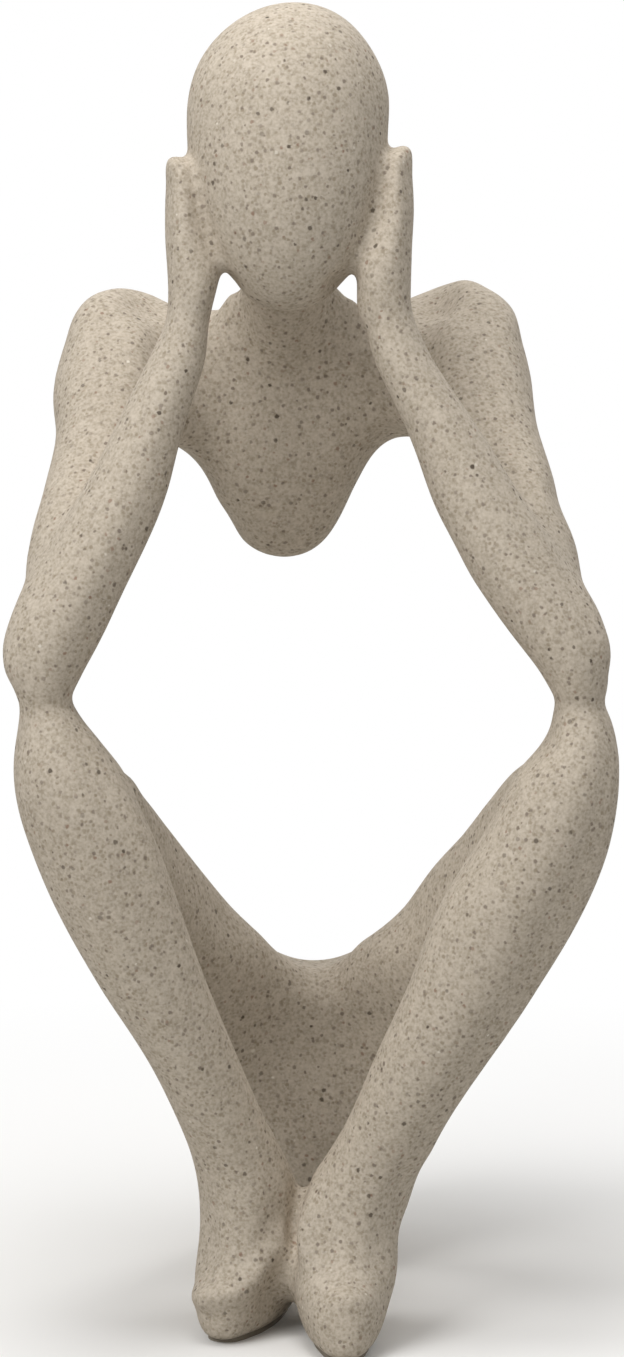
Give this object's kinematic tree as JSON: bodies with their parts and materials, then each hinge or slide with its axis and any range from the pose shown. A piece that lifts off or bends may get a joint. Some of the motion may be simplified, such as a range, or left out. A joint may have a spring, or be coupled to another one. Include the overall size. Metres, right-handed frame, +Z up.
{
  "type": "thinker statue",
  "caption": "Abstract seated figure ornament, elbows on its knees and its egg-shaped head held in its hands; rests on its seat and feet.",
  "frame": {"origin": "on the table, under the middle of the figure's bounding box", "axes": "+Z up, from the table to the head; -Y is the way the figure faces; +X is to the right as seen from the front"},
  "size_m": [0.062, 0.0532, 0.1339],
  "materials": {
    "sandstone_resin": "sandstone-effect cast resin, matt and fine-grained, warm grey beige with dark brown, black and white mineral specks",
    "pin_steel": "plain drawn steel rod",
    "pad_rubber": "thin soft dark pad, matt"
  },
  "bodies": {
    "root": {"head": "sandstone_resin", "chest": "sandstone_resin", "left_upper_arm": "sandstone_resin", "right_upper_arm": "sandstone_resin", "left_forearm": "sandstone_resin", "right_forearm": "sandstone_resin", "left_hand": "sandstone_resin", "right_hand": "sandstone_resin", "pelvis": "sandstone_resin", "left_thigh": "sandstone_resin", "right_thigh": "sandstone_resin", "left_shin": "sandstone_resin", "right_shin": "sandstone_resin", "left_foot": "sandstone_resin", "right_foot": "sandstone_resin", "neck_pin": "pin_steel", "shoulder_pins": "pin_steel", "elbow_pins": "pin_steel", "knee_rest_pins": "pin_steel", "wrist_pins": "pin_steel", "hip_pins": "pin_steel", "knee_pins": "pin_steel", "ankle_pins": "pin_steel", "seat_pad": "pad_rubber", "foot_pads": "pad_rubber"}
  },
  "joints": []
}
